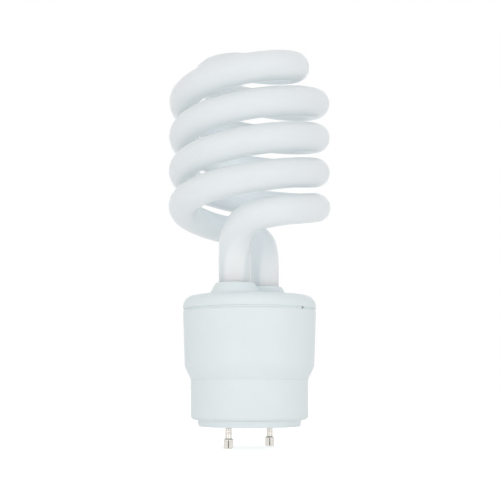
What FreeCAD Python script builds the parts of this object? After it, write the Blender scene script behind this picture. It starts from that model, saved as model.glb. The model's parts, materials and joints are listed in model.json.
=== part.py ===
import FreeCAD, Part
import math
import os
import Sketcher
from FreeCAD import Placement, Rotation, Vector

doc = FreeCAD.newDocument("spiral_lamp")

# Driving dimensions in millimetres and degrees. The lamp stands on the seating face of its base:
# Z is up, the front is -Y, and an azimuth is counted from +X towards +Y.
dimensions = {
    # Glass tube, two starts wound on one cylinder and joined over the top
    "tube_diameter": 11.8,
    "coil_diameter": 66.4,
    "turn_gap": 2.7,
    "coil_rise": 32.0,
    "coil_end_azimuth": 650.0,
    "crown_run": 25.0,
    "crest_lift": 2.7,
    "crest_shift": 26.0,
    "crest_reach": 60.0,
    "leg_spacing": 22.9,
    "leg_azimuth": 237.9,
    "leg_bend_radius": 25.0,
    "leg_tail": 2.8,
    # Base cap
    "cap_diameter": 47.0,
    "cap_height": 15.9,
    "cap_rounding": 1.6,
    "seat_diameter": 40.8,
    "seat_draft": 0.4,
    "seat_height": 2.6,
    "cap_floor": 2.6,
    "pin_socket_diameter": 7.0,
    "pin_socket_height": 2.2,
    # Ballast housing
    "waist_diameter": 52.0,
    "waist_height": 5.1,
    "waist_rounding": 7.0,
    "rim_diameter": 53.8,
    "body_height": 22.25,
    "shell_wall": 2.0,
    "spigot_depth": 5.0,
    "spigot_wall": 1.8,
    "spigot_clearance": 0.2,
    "rib_thickness": 1.6,
    "rib_spread": 25.0,
    # Seam between the housing and the cover
    "seam_gap": 0.8,
    "seam_depth": 0.9,
    "latch_inset": 0.15,
    "latch_gap": 0.15,
    "latch_start": 237.0,
    "latch_span": 60.0,
    "keeper_start": 314.0,
    "keeper_span": 5.0,
    "release_azimuth": 321.5,
    "release_width": 1.6,
    # Tube cover
    "cover_edge": 5.05,
    "cover_rounding": 4.2,
    "cover_rise": 1.6,
    "collar_height": 3.1,
    "collar_top_diameter": 15.6,
    "collar_foot_diameter": 20.8,
    "collar_offset": 0.6,
    "collar_rounding": 0.5,
    "leg_clearance": 0.3,
    "socket_lip": 2.5,
    "cement_thickness": 0.9,
    "bond_gap": 0.05,
    "stud_diameter": 2.8,
    # Contact pins
    "pin_spacing": 24.0,
    "pin_azimuth": 46.9,
    "pin_head_diameter": 3.8,
    "pin_head_length": 3.9,
    "pin_head_rounding": 0.5,
    "pin_neck_diameter": 2.6,
    "pin_neck_length": 4.5,
    "pin_fit": 0.05,
    "pin_flange_diameter": 4.6,
    "pin_flange_height": 1.2,
    "pin_tail_diameter": 1.6,
    "pin_tail_length": 3.0,
    # Circuit board and its connections
    "board_depth": 5.1,
    "board_thickness": 1.6,
    "board_clearance": 0.7,
    "board_bearing": 2.4,
    "lead_diameter": 0.7,
    "lead_clearance": 0.15,
    "lead_stub": 0.8,
    "wrap_post_width": 0.8,
    "wrap_post_height": 4.5,
    "tube_wire_diameter": 0.6,
    "tube_wire_spread": 2.2,
    "tube_wire_reach": 7.5,
    "tube_wire_lift": 1.7,
    "tube_wire_bend": 1.2,
    "supply_wire_diameter": 1.4,
    "supply_wire_bend": 7.0,
    "supply_wire_run": 12.0,
    "supply_wire_offset": 2.4,
    # Components under the board
    "bulk_can_diameter": 10.0,
    "bulk_can_length": 18.0,
    "bulk_lead_pitch": 5.0,
    "film_case_length": 7.2,
    "film_case_width": 4.4,
    "film_case_height": 8.0,
    "film_lead_pitch": 5.0,
    "choke_width": 13.0,
    "choke_half_length": 6.4,
    "choke_depth": 5.6,
    "choke_centre_leg": 3.4,
    "choke_outer_leg": 1.7,
    "choke_bobbin_wall": 0.6,
    "choke_flange_height": 11.0,
    "choke_flange": 0.8,
    "choke_play": 0.15,
    "toroid_diameter": 9.0,
    "toroid_bore": 5.0,
    "toroid_height": 4.0,
    "toroid_wire": 0.5,
    "toroid_winding_span": 60.0,
    "drum_diameter": 8.0,
    "drum_hub_diameter": 4.0,
    "drum_flange": 1.2,
    "drum_winding_height": 6.0,
    "transistor_diameter": 4.6,
    "transistor_depth": 3.6,
    "transistor_height": 4.6,
    "transistor_standoff": 2.0,
    "transistor_lead_pitch": 1.3,
    "diode_diameter": 2.7,
    "diode_length": 5.0,
    "diode_pitch": 8.0,
    "trigger_diameter": 1.9,
    "trigger_length": 3.8,
    "trigger_pitch": 6.4,
    "resistor_diameter": 2.3,
    "resistor_length": 6.0,
    "resistor_pitch": 8.4,
    "axial_standoff": 0.2,
}

sheet = doc.addObject("Spreadsheet::Sheet", "Sizes")
for row, (alias, number) in enumerate(dimensions.items(), start=1):
    sheet.set(f"A{row}", alias)
    sheet.set(f"B{row}", str(number))
    sheet.setAlias(f"B{row}", alias)
doc.recompute()


class Size:
    """A number together with the sheet expression that gives it."""

    def __init__(self, value, text):
        self.value = value
        self.text = text

    def __add__(self, other):
        other = as_size(other)
        return Size(self.value + other.value, f"({self.text} + {other.text})")

    def __sub__(self, other):
        other = as_size(other)
        return Size(self.value - other.value, f"({self.text} - {other.text})")

    def __mul__(self, other):
        other = as_size(other)
        return Size(self.value * other.value, f"({self.text} * {other.text})")

    def __truediv__(self, other):
        other = as_size(other)
        return Size(self.value / other.value, f"({self.text} / {other.text})")

    def __neg__(self):
        return Size(-self.value, f"(0 - {self.text})")


def as_size(item):
    return item if isinstance(item, Size) else Size(float(item), str(float(item)))


def size(alias):
    return Size(float(sheet.get(alias)), f"Sizes.{alias}")


def cosine(angle):
    return Size(math.cos(math.radians(angle.value)), f"cos({angle.text})")


def sine(angle):
    return Size(math.sin(math.radians(angle.value)), f"sin({angle.text})")


def smaller(first, second):
    return Size(min(first.value, second.value), f"min({first.text}; {second.text})")


ZERO = as_size(0)
HALF_TURN = as_size(180)
QUARTER_TURN = as_size(90)
# Lengths and directions closer than this count as equal
MATCH = 1e-6
# The most of a ledge that the rounding at its edge may take
LEDGE_SHARE = 0.8

# Levels of the case, counted up from the seating face
cap_top = size("seat_height") + size("cap_height")
waist_top = cap_top + size("waist_height")
rim_level = waist_top + size("body_height")
seam_level = rim_level + size("seam_gap")
shoulder_level = seam_level + size("cover_edge")
crown_level = shoulder_level + size("cover_rise")
plate_level = shoulder_level - size("shell_wall")
collar_level = crown_level + size("collar_height")
leg_end_level = plate_level - size("leg_tail")
board_level = rim_level - size("board_depth")
board_top = board_level + size("board_thickness")
floor_level = size("cap_floor")

# Radii that neighbouring pieces share
tube_radius = size("tube_diameter") / 2
cap_radius = size("cap_diameter") / 2
cap_bore = cap_radius - size("shell_wall")
waist_radius = size("waist_diameter") / 2
waist_bore = waist_radius - size("shell_wall")
rim_radius = size("rim_diameter") / 2
rim_bore = rim_radius - size("shell_wall")
spigot_radius = cap_bore - size("spigot_clearance")
spigot_bore = spigot_radius - size("spigot_wall")
cover_spigot = rim_bore - size("spigot_clearance")
cover_bore = cover_spigot - size("spigot_wall")
board_radius = waist_bore - size("board_clearance")
bearing_radius = board_radius - size("board_bearing")
socket_radius = tube_radius + size("leg_clearance")
cement_radius = tube_radius + size("cement_thickness")
leg_radius = size("leg_spacing") / 2
pin_radius = size("pin_spacing") / 2
leg_sides = {"front": size("leg_azimuth"), "rear": size("leg_azimuth") - HALF_TURN}
pin_sides = {"left": size("pin_azimuth") + HALF_TURN, "right": size("pin_azimuth")}

nodes = {}


def add_node(feature, label):
    feature.Label = label
    nodes[label] = feature
    return feature


def bind(feature, **sizes):
    for name, item in sizes.items():
        feature.setExpression(name, as_size(item).text)
    return feature


def place(feature, x=ZERO, y=ZERO, z=ZERO, turn=ZERO):
    feature.Placement = Placement(Vector(0, 0, 0), Rotation(Vector(0, 0, 1), 0))
    feature.setExpression(".Placement.Base.x", as_size(x).text)
    feature.setExpression(".Placement.Base.y", as_size(y).text)
    feature.setExpression(".Placement.Base.z", as_size(z).text)
    feature.setExpression(".Placement.Rotation.Angle", as_size(turn).text)
    return feature


def place_polar(feature, radius, azimuth, z=ZERO, turn=ZERO):
    return place(feature, radius * cosine(azimuth), radius * sine(azimuth), z, turn)


def cylinder(name, radius, height, span=as_size(360)):
    return bind(doc.addObject("Part::Cylinder", name), Radius=radius, Height=height, Angle=span)


def block(name, length, width, height, x=None, y=None, z=ZERO):
    """A box of the given size, centred on the axis unless a corner is given."""
    feature = bind(doc.addObject("Part::Box", name), Length=length, Width=width, Height=height)
    corner_x = -(length / 2) if x is None else x
    corner_y = -(width / 2) if y is None else y
    return place(feature, corner_x, corner_y, z)


def turned_block(name, length, width, height, radius, azimuth, z):
    """A box that reaches outwards from a radius along an azimuth, centred on that line."""
    feature = bind(doc.addObject("Part::Box", name), Length=length, Width=width, Height=height)
    x = radius * cosine(azimuth) + width / 2 * sine(azimuth)
    y = radius * sine(azimuth) - width / 2 * cosine(azimuth)
    return place(feature, x, y, z, azimuth)


def cross_rod(name, radius, length, z):
    """A cylinder along X, centred on the axis at a level."""
    feature = bind(doc.addObject("Part::Cylinder", name), Radius=radius, Height=length)
    feature.Placement = Placement(Vector(0, 0, 0), Rotation(Vector(0, 1, 0), 90))
    feature.setExpression(".Placement.Base.x", (-(length / 2)).text)
    feature.setExpression(".Placement.Base.z", as_size(z).text)
    return feature


def fuse(name, pieces):
    feature = doc.addObject("Part::MultiFuse", name)
    feature.Shapes = pieces
    return feature


def cut(name, base, tool):
    feature = doc.addObject("Part::Cut", name)
    feature.Base = base
    feature.Tool = tool
    return feature


def common(name, first, second):
    feature = doc.addObject("Part::MultiCommon", name)
    feature.Shapes = [first, second]
    return feature


def pin_corner(sketch, index, kind, axis, item):
    """Ties one coordinate of a profile corner, the start of a line or a point, to its size."""
    if item is ZERO:
        sketch.addConstraint(Sketcher.Constraint("PointOnObject", index, 1, axis))
        return
    number = sketch.addConstraint(Sketcher.Constraint(kind, -1, 1, index, 1, item.value))
    sketch.setExpression(f"Constraints[{number}]", item.text)


def round_corner(sketch, before, after, corner, rounding):
    """Swaps the corner between two lines of a profile for an arc that touches both.

    The corner itself stays in the sketch as a point on both lines, and its number is returned.
    """
    start = sketch.Geometry[before].StartPoint
    end = sketch.Geometry[after].EndPoint
    incoming = (corner - start) / (corner - start).Length
    outgoing = (end - corner) / (end - corner).Length
    half_turn = incoming.getAngle(outgoing) / 2
    setback = rounding.value * math.tan(half_turn)
    bulge = rounding.value * (1 / math.cos(half_turn) - 1)
    inward = (outgoing - incoming) / (outgoing - incoming).Length
    arc_start = corner - incoming * setback
    arc_end = corner + outgoing * setback
    arc = sketch.addGeometry(Part.Arc(arc_start, corner + inward * bulge, arc_end))
    sketch.addGeometry(Part.Point(corner), True)
    for line, line_end, arc_side in ((before, 2, 1), (after, 1, 2)):
        sketch.addConstraint(Sketcher.Constraint("Tangent", line, line_end, arc, arc_side))
        sketch.addConstraint(Sketcher.Constraint("PointOnObject", arc + 1, 1, line))
    number = sketch.addConstraint(Sketcher.Constraint("Radius", arc, rounding.value))
    sketch.setExpression(f"Constraints[{number}]", rounding.text)
    return arc + 1


def lathe(name, corners, waist=None, rounding=None):
    """A turned solid: the closed outline of (radius, level) corners swept round the Z axis.

    The corner that is given as the waist is drawn as an arc of the given rounding.
    """
    body = doc.addObject("PartDesign::Body", name)
    sketch = body.newObject("Sketcher::SketchObject", name + "_profile")
    plane = [item for item in body.Origin.OriginFeatures if item.Role == "XZ_Plane"][0]
    sketch.AttachmentSupport = [(plane, "")]
    sketch.MapMode = "FlatFace"
    points = [Vector(radius.value, level.value, 0) for radius, level in corners]
    count = len(points)
    for index, point in enumerate(points):
        sketch.addGeometry(Part.LineSegment(point, points[(index + 1) % count]))
    spots = list(range(count))
    for index in range(count):
        if corners[index] == waist:
            spots[index] = round_corner(sketch, index - 1, index, points[index], rounding)
        else:
            sketch.addConstraint(Sketcher.Constraint("Coincident", (index - 1) % count, 2, index, 1))
    for spot, (radius, level) in zip(spots, corners):
        pin_corner(sketch, spot, "DistanceX", -2, radius)
        pin_corner(sketch, spot, "DistanceY", -1, level)
    turned = body.newObject("PartDesign::Revolution", name + "_turned")
    turned.Profile = sketch
    turned.ReferenceAxis = (sketch, ["V_Axis"])
    turned.Angle = 360
    body.Tip = turned
    return body


def round_rings(body, rings, rounding):
    """Rounds the circular edges of a turned solid that lie at the given (radius, level) corners."""
    doc.recompute()
    base = body.Tip
    names = []
    for number, edge in enumerate(base.Shape.Edges, start=1):
        if not isinstance(edge.Curve, Part.Circle):
            continue
        for radius, level in rings:
            off = math.hypot(edge.Curve.Radius - radius.value, edge.Curve.Center.z - level.value)
            if off < math.sqrt(MATCH):
                names.append(f"Edge{number}")
    feature = body.newObject("PartDesign::Fillet", body.Name + "_rounding")
    feature.Base = (base, names)
    bind(feature, Radius=rounding)
    body.Tip = feature
    return body


def arc_edge(start, heading, end):
    """The arc that leaves a point along a unit heading and reaches another point."""
    chord = end - start
    along = chord / chord.Length
    side = heading - along * heading.dot(along)
    if side.Length < MATCH:
        return Part.LineSegment(start, end).toShape()
    half_turn = math.atan2(side.Length, heading.dot(along))
    rise = chord.Length / 2 * math.tan(half_turn / 2)
    middle = (start + end) / 2 + side / side.Length * rise
    return Part.Arc(start, middle, end).toShape()


def two_arcs(start, heading, end, final_heading):
    """Two arcs with a shared tangent, between two points with given unit headings."""
    chord = end - start
    forward = chord.dot(heading + final_heading)
    spread = 2 * (1 - heading.dot(final_heading))
    if spread < MATCH ** 2:
        reach = chord.dot(chord) / (2 * forward)
    else:
        reach = (math.sqrt(forward ** 2 + spread * chord.dot(chord)) - forward) / spread
    middle = (start + end + (heading - final_heading) * reach) / 2
    joint_heading = middle - start - heading * reach
    joint_heading = joint_heading / joint_heading.Length
    return [arc_edge(start, heading, middle), arc_edge(middle, joint_heading, end)]


def swept_round(name, edges, diameter):
    """A round bar or wire along a tangent path."""
    path = doc.addObject("Part::Feature", name + "_path")
    path.Shape = Part.Wire(edges)
    first = edges[0]
    ring = bind(doc.addObject("Part::Circle", name + "_section"), Radius=diameter / 2)
    heading = first.tangentAt(first.FirstParameter)
    ring.Placement = Placement(first.valueAt(first.FirstParameter), Rotation(Vector(0, 0, 1), heading))
    feature = doc.addObject("Part::Sweep", name + "_sweep")
    feature.Sections = [ring]
    feature.Spine = (path, [f"Edge{number}" for number in range(1, len(edges) + 1)])
    feature.Solid = True
    feature.Frenet = False
    return feature


def direction(azimuth):
    return Vector(math.cos(azimuth), math.sin(azimuth), 0)


def tube_stations():
    """Points, headings and runs still to go along half of the tube, from the front leg's end to the axis.

    In plan the tube leaves the leg on a circle that touches the coil's circle from inside, follows the
    coil, and comes back to the axis on a half circle. It climbs at the coil's slope, after a bend
    out of the leg and before an easing to level at the top.
    """
    coil_radius = size("coil_diameter").value / 2 - tube_radius.value
    rise_per_turn = 2 * (size("tube_diameter").value + size("turn_gap").value)
    slope = math.atan(rise_per_turn / (2 * math.pi * coil_radius))
    small_radius = coil_radius / 2
    offset = coil_radius - small_radius
    leg = leg_radius.value
    leg_azimuth = math.radians(size("leg_azimuth").value - 360)
    reach = (leg ** 2 + offset ** 2 - small_radius ** 2) / (2 * leg * offset)
    join_azimuth = leg_azimuth + math.acos(reach)
    centre = direction(join_azimuth) * offset
    leg_point = direction(leg_azimuth) * leg
    from_centre = leg_point - centre
    start_angle = math.atan2(from_centre.y, from_centre.x)
    swing = (join_azimuth - start_angle) % (2 * math.pi)
    end_azimuth = math.radians(size("coil_end_azimuth").value)
    lead_length = small_radius * swing
    coil_length = coil_radius * (end_azimuth - join_azimuth)
    crown_length = small_radius * math.pi
    total = lead_length + coil_length + crown_length

    bend = size("leg_bend_radius").value
    bend_length = bend * (1 - math.sin(slope))
    flat_start = total - size("crown_run").value
    flat_radius = size("crown_run").value / math.sin(slope)
    coil_start = collar_level.value + size("coil_rise").value
    join_level = coil_start + rise_per_turn * join_azimuth / (2 * math.pi)
    bend_end = join_level - (lead_length - bend_length) * math.tan(slope)
    bend_start = bend_end - bend * math.cos(slope)
    flat_level = bend_end + (flat_start - bend_length) * math.tan(slope)

    def plan(run):
        if run < lead_length:
            angle = start_angle + run / small_radius
            return centre + direction(angle) * small_radius, angle
        run = run - lead_length
        if run < coil_length:
            angle = join_azimuth + run / coil_radius
            return direction(angle) * coil_radius, angle
        angle = end_azimuth + (run - coil_length) / small_radius
        return direction(end_azimuth) * small_radius + direction(angle) * small_radius, angle

    def climb(run):
        if run < bend_length:
            incline = math.asin(1 - run / bend)
            return bend_start + bend * math.cos(incline), incline
        if run < flat_start:
            return bend_end + (run - bend_length) * math.tan(slope), slope
        incline = math.asin(max(0.0, math.sin(slope) - (run - flat_start) / flat_radius))
        return flat_level + flat_radius * (math.cos(incline) - math.cos(slope)), incline

    def station(run):
        spot, angle = plan(run)
        level, incline = climb(run)
        heading = direction(angle + math.pi / 2) * math.cos(incline) + Vector(0, 0, math.sin(incline))
        return spot + Vector(0, 0, level), heading, total - run

    bend_steps = 5
    swing_step = math.pi / 4
    runs = []
    for step in range(bend_steps):
        incline = math.pi / 2 + (slope - math.pi / 2) * step / bend_steps
        runs.append(bend * (1 - math.sin(incline)))
    stretches = (
        (bend_length, lead_length, small_radius),
        (lead_length, lead_length + coil_length, coil_radius),
        (lead_length + coil_length, flat_start, small_radius),
        (flat_start, total, small_radius),
    )
    for begin, end, radius in stretches:
        steps = math.ceil((end - begin) / (radius * swing_step))
        runs.extend(begin + (end - begin) * step / steps for step in range(steps))
    foot = leg_point + Vector(0, 0, leg_end_level.value)
    stations = [(foot, Vector(0, 0, 1), total)]
    stations.extend(station(run) for run in runs)
    summit = Vector(0, 0, flat_level + flat_radius * (1 - math.cos(slope)))
    stations.append((summit, direction(end_azimuth + math.pi * 1.5), 0.0))
    return stations


def half_turned(vector):
    return Vector(-vector.x, -vector.y, vector.z)


def with_crest(point, heading, past_axis):
    """A station raised by the crest of the tube, one wave whose top lies a little past the axis."""
    lift = size("crest_lift").value
    reach = size("crest_reach").value
    phase = math.pi * (past_axis - size("crest_shift").value) / reach
    if abs(phase) >= math.pi:
        return point, heading
    steepness = -lift * math.pi / (2 * reach) * math.sin(phase)
    heading = heading + Vector(0, 0, steepness * math.hypot(heading.x, heading.y))
    return point + Vector(0, 0, lift * (1 + math.cos(phase)) / 2), heading.normalize()


def make_spiral_tube():
    climb = tube_stations()
    stations = [with_crest(point, heading, -to_go) for point, heading, to_go in climb]
    stations.extend(with_crest(half_turned(point), -half_turned(heading), to_go)
                    for point, heading, to_go in reversed(climb[:-1]))
    edges = []
    for (start, heading), (end, final_heading) in zip(stations, stations[1:]):
        if (end - start).cross(heading).Length < MATCH:
            edges.append(Part.LineSegment(start, end).toShape())
        else:
            edges.extend(two_arcs(start, heading, end, final_heading))
    tube = swept_round("spiral_tube", edges, size("tube_diameter"))
    add_node(tube, "spiral_tube")
    return sum(edge.Length for edge in edges)


def make_base_cap():
    seat = size("seat_diameter") / 2
    cup = lathe("base_cup", [
        (ZERO, ZERO),
        (seat, ZERO),
        (seat + size("seat_draft"), size("seat_height")),
        (cap_radius, size("seat_height")),
        (cap_radius, cap_top),
        (cap_bore, cap_top),
        (cap_bore, size("seat_height") + size("shell_wall")),
        (seat - size("shell_wall"), size("seat_height") + size("shell_wall")),
        (seat - size("shell_wall"), floor_level),
        (ZERO, floor_level),
    ])
    ledge = cap_radius - seat - size("seat_draft")
    round_rings(cup, [(cap_radius, size("seat_height"))], smaller(size("cap_rounding"), ledge * LEDGE_SHARE))
    sockets = []
    holes = []
    hole_radius = size("pin_neck_diameter") / 2 + size("pin_fit")
    flange_bore = size("pin_flange_diameter") / 2 + size("pin_fit")
    for side, azimuth in pin_sides.items():
        socket = cylinder(f"{side}_socket", size("pin_socket_diameter") / 2,
                          size("pin_socket_height") + floor_level / 2)
        sockets.append(place_polar(socket, pin_radius, azimuth, floor_level / 2))
        hole = cylinder(f"{side}_pin_hole", hole_radius, floor_level)
        holes.append(place_polar(hole, pin_radius, azimuth))
        well = cylinder(f"{side}_pin_well", flange_bore, size("pin_socket_height"))
        holes.append(place_polar(well, pin_radius, azimuth, floor_level))
    solid = fuse("cup_with_sockets", [cup] + sockets)
    add_node(cut("base_cap_cut", solid, fuse("pin_holes", holes)), "base_cap")


def make_contact_pins():
    head = size("pin_head_diameter") / 2
    neck = size("pin_neck_diameter") / 2
    flange = size("pin_flange_diameter") / 2
    tail = size("pin_tail_diameter") / 2
    neck_end = size("pin_head_length") + size("pin_neck_length") + floor_level
    flange_end = neck_end + size("pin_flange_height")
    tail_end = flange_end + size("pin_tail_length")
    for side, azimuth in pin_sides.items():
        pin = lathe(f"{side}_pin", [
            (ZERO, ZERO),
            (head, ZERO),
            (head, size("pin_head_length")),
            (neck, size("pin_head_length")),
            (neck, neck_end),
            (flange, neck_end),
            (flange, flange_end),
            (tail, flange_end),
            (tail, tail_end),
            (ZERO, tail_end),
        ])
        round_rings(pin, [(head, ZERO), (head, size("pin_head_length"))], size("pin_head_rounding"))
        drop = size("pin_head_length") + size("pin_neck_length")
        place_polar(pin, pin_radius, azimuth, -drop)
        add_node(pin, f"{side}_contact_pin")


def ring_sector(name, inner, outer, low, height, start, span):
    slab = place(cylinder(name + "_slab", outer, height, span), z=low, turn=start)
    core = place(cylinder(name + "_core", inner, height), z=low)
    return cut(name, slab, core)


def rib_azimuths():
    for side, azimuth in leg_sides.items():
        for sign, hand in ((-1, "a"), (1, "b")):
            yield f"{side}_{hand}", azimuth + QUARTER_TURN + size("rib_spread") * sign


def make_ballast_housing():
    lip_radius = rim_radius - size("seam_depth")
    spigot_end = cap_top - size("spigot_depth")
    waist = (waist_radius, waist_top)
    envelope = lathe("housing_envelope", [
        (ZERO, spigot_end),
        (spigot_radius, spigot_end),
        (spigot_radius, cap_top),
        (cap_radius, cap_top),
        waist,
        (rim_radius, rim_level),
        (lip_radius, rim_level),
        (lip_radius, seam_level),
        (ZERO, seam_level),
    ], waist, size("waist_rounding"))
    cavity = lathe("housing_cavity", [
        (ZERO, spigot_end),
        (spigot_bore, spigot_end),
        (spigot_bore, cap_top + size("shell_wall") / 2),
        (waist_bore, waist_top + size("shell_wall") / 2),
        (rim_bore, rim_level),
        (rim_bore, seam_level),
        (ZERO, seam_level),
    ])
    shell = cut("housing_shell", envelope, cavity)
    additions = [shell]
    windows = []
    latch_radius = rim_radius - size("latch_inset")
    latch_height = size("seam_gap") - size("latch_gap")
    lip_middle = (lip_radius + rim_bore) / 2
    for side, turn in (("front", ZERO), ("rear", HALF_TURN)):
        additions.append(ring_sector(f"{side}_latch", lip_middle, latch_radius, rim_level, latch_height,
                                     size("latch_start") + turn, size("latch_span")))
        additions.append(ring_sector(f"{side}_keeper", lip_middle, latch_radius, rim_level, latch_height,
                                     size("keeper_start") + turn, size("keeper_span")))
        azimuth = size("release_azimuth") + turn
        windows.append(turned_block(f"{side}_release", rim_radius - cover_spigot, size("release_width"),
                                    size("seam_gap"), cover_spigot, azimuth, rim_level))
    ribs = []
    rib_length = waist_bore + size("shell_wall") / 2 - bearing_radius
    for name, azimuth in rib_azimuths():
        ribs.append(turned_block(f"{name}_rib_bar", rib_length, size("rib_thickness"), board_level - cap_top,
                                 bearing_radius, azimuth, cap_top))
    additions.append(common("housing_ribs", fuse("rib_bars", ribs), envelope))
    add_node(cut("housing_cut", fuse("housing_joined", additions), fuse("releases", windows)),
             "ballast_housing")


def make_tube_cover():
    plate = lathe("cover_plate", [
        (cover_spigot, seam_level - size("spigot_depth") / 2),
        (cover_spigot, seam_level),
        (rim_radius, seam_level),
        (rim_radius, shoulder_level),
        (ZERO, crown_level),
        (ZERO, plate_level),
        (cover_bore, plate_level),
        (cover_bore, seam_level - size("spigot_depth") / 2),
    ])
    round_rings(plate, [(rim_radius, shoulder_level)], size("cover_rounding"))
    collar_height = collar_level - shoulder_level
    collar_top = size("collar_top_diameter") / 2
    solids = [plate]
    bores = []
    for side, azimuth in leg_sides.items():
        collar = lathe(f"{side}_collar", [
            (ZERO, ZERO),
            (size("collar_foot_diameter") / 2, ZERO),
            (collar_top, collar_height),
            (ZERO, collar_height),
        ])
        round_rings(collar, [(collar_top, collar_height)], size("collar_rounding"))
        solids.append(place_polar(collar, leg_radius - size("collar_offset"), azimuth, shoulder_level))
        bore = cylinder(f"{side}_leg_bore", socket_radius, collar_level - plate_level)
        bores.append(place_polar(bore, leg_radius, azimuth, plate_level))
        well = cylinder(f"{side}_cement_well", cement_radius,
                        collar_level - size("socket_lip") - plate_level)
        bores.append(place_polar(well, leg_radius, azimuth, plate_level))
    for name, azimuth in rib_azimuths():
        stud = cylinder(f"{name}_stud", size("stud_diameter") / 2, shoulder_level - board_top)
        solids.append(place_polar(stud, bearing_radius, azimuth, board_top))
    add_node(cut("cover_cut", fuse("cover_solid", solids), fuse("leg_bores", bores)), "tube_cover")


def make_cement():
    height = collar_level - size("socket_lip") - plate_level
    for side, azimuth in leg_sides.items():
        ring = cut(f"{side}_cement",
                   cylinder(f"{side}_cement_outside", cement_radius - size("bond_gap"), height),
                   cylinder(f"{side}_cement_inside", tube_radius + size("bond_gap"), height))
        place_polar(ring, leg_radius, azimuth, plate_level)
        add_node(ring, f"{side}_leg_cement")


drillings = []


def mounted(label, solids, lead_spots, spot):
    """Puts a component under the board, with straight leads through drilled holes.

    The component is modelled about its own axis with the board's underside at level zero.
    """
    x, y, turn = spot
    lead_low = -size("lead_diameter")
    lead_top = size("board_thickness") + size("lead_stub")
    leads = []
    holes = []
    for number, (across, along, low) in enumerate(lead_spots, start=1):
        start = lead_low if low is None else low
        lead = cylinder(f"{label}_lead_{number}", size("lead_diameter") / 2, lead_top - start)
        leads.append(place(lead, across, along, start))
        hole = cylinder(f"{label}_hole_{number}", size("lead_diameter") / 2 + size("lead_clearance"),
                        size("board_thickness"))
        holes.append(place(hole, across, along))
    joined = fuse(f"{label}_joined", solids + leads)
    place(joined, x, y, board_level, turn)
    add_node(joined, label)
    drilled = fuse(f"{label}_drilling", holes) if len(holes) > 1 else holes[0]
    place(drilled, x, y, board_level, turn)
    drillings.append(drilled)


def board_spot(across, along, turn=0):
    """A place on the board, given as shares of its radius, and a turn in degrees."""
    return board_radius * across, board_radius * along, as_size(turn)


def make_bulk_capacitor():
    radius = size("bulk_can_diameter") / 2
    length = size("bulk_can_length")
    can = place(cylinder("bulk_can", radius, length), z=-length)
    spread = size("bulk_lead_pitch") / 2
    mounted("bulk_capacitor", [can], [(-spread, ZERO, None), (spread, ZERO, None)],
            board_spot(0.39, -0.43, 45))


def make_film_capacitors():
    spread = size("film_lead_pitch") / 2
    spots = {
        "resonance_capacitor": board_spot(0.15, 0.66),
        "blocking_capacitor": board_spot(-0.10, -0.58),
        "starting_capacitor": board_spot(0.12, 0.33),
    }
    for label, spot in spots.items():
        case = block(f"{label}_case", size("film_case_length"), size("film_case_width"),
                     size("film_case_height"), z=-size("film_case_height"))
        mounted(label, [case], [(-spread, ZERO, None), (spread, ZERO, None)], spot)


def make_ballast_choke():
    x, y, turn = board_spot(-0.39, 0.37)
    width = size("choke_width")
    half = size("choke_half_length")
    depth = size("choke_depth")
    centre_leg = size("choke_centre_leg")
    outer_leg = size("choke_outer_leg")
    play = size("choke_play")
    wall = size("choke_bobbin_wall")
    flange = size("choke_flange")
    flange_height = size("choke_flange_height")
    middle = board_level - flange_height / 2
    window_width = (width - centre_leg) / 2 - outer_leg
    window_length = half - outer_leg
    for label, side in (("choke_core_left", -1), ("choke_core_right", 1)):
        back = block(f"{label}_block", half, width, depth, x=ZERO, z=-(depth / 2))
        slots = []
        for hand in (-1, 1):
            slot = block(f"{label}_slot_{'near' if hand < 0 else 'far'}", window_length, window_width, depth,
                         x=ZERO, z=-(depth / 2),
                         y=(centre_leg + window_width) / 2 * hand - window_width / 2)
            slots.append(slot)
        core = cut(f"{label}_cut", back, fuse(f"{label}_slots", slots))
        place(core, x, y, middle, turn + QUARTER_TURN * (1 - side))
        add_node(core, label)
    barrel_length = window_length * 2 - play * 2
    tube_width = centre_leg + play * 2 + wall * 2
    tube_depth = depth + play * 2 + wall * 2
    flange_width = centre_leg + window_width * 2 - play * 2
    barrel = block("choke_barrel", barrel_length, tube_width, tube_depth, z=-(tube_depth / 2))
    flanges = []
    for name, corner in (("left", -(barrel_length / 2)), ("right", barrel_length / 2 - flange)):
        flanges.append(block(f"choke_{name}_flange", flange, flange_width, flange_height, x=corner,
                             z=-(flange_height / 2)))
    tunnel = block("choke_tunnel", barrel_length, centre_leg + play * 2, depth + play * 2,
                   z=-(depth / 2) - play)
    bobbin = cut("choke_bobbin_cut", fuse("choke_bobbin_solid", [barrel] + flanges), tunnel)
    place(bobbin, x, y, middle, turn)
    add_node(bobbin, "choke_bobbin")
    coil_length = barrel_length - flange * 2 - play * 2
    coil_width = flange_width - play * 2
    coil_depth = flange_height - play * 4
    coil = block("choke_coil", coil_length, coil_width, coil_depth, z=-(coil_depth / 2))
    coil_bore = block("choke_coil_bore", coil_length, tube_width + play, tube_depth + play,
                      z=-((tube_depth + play) / 2))
    winding = cut("choke_winding_cut", coil, coil_bore)
    place(winding, x, y, middle, turn)
    add_node(winding, "choke_winding")


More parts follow.
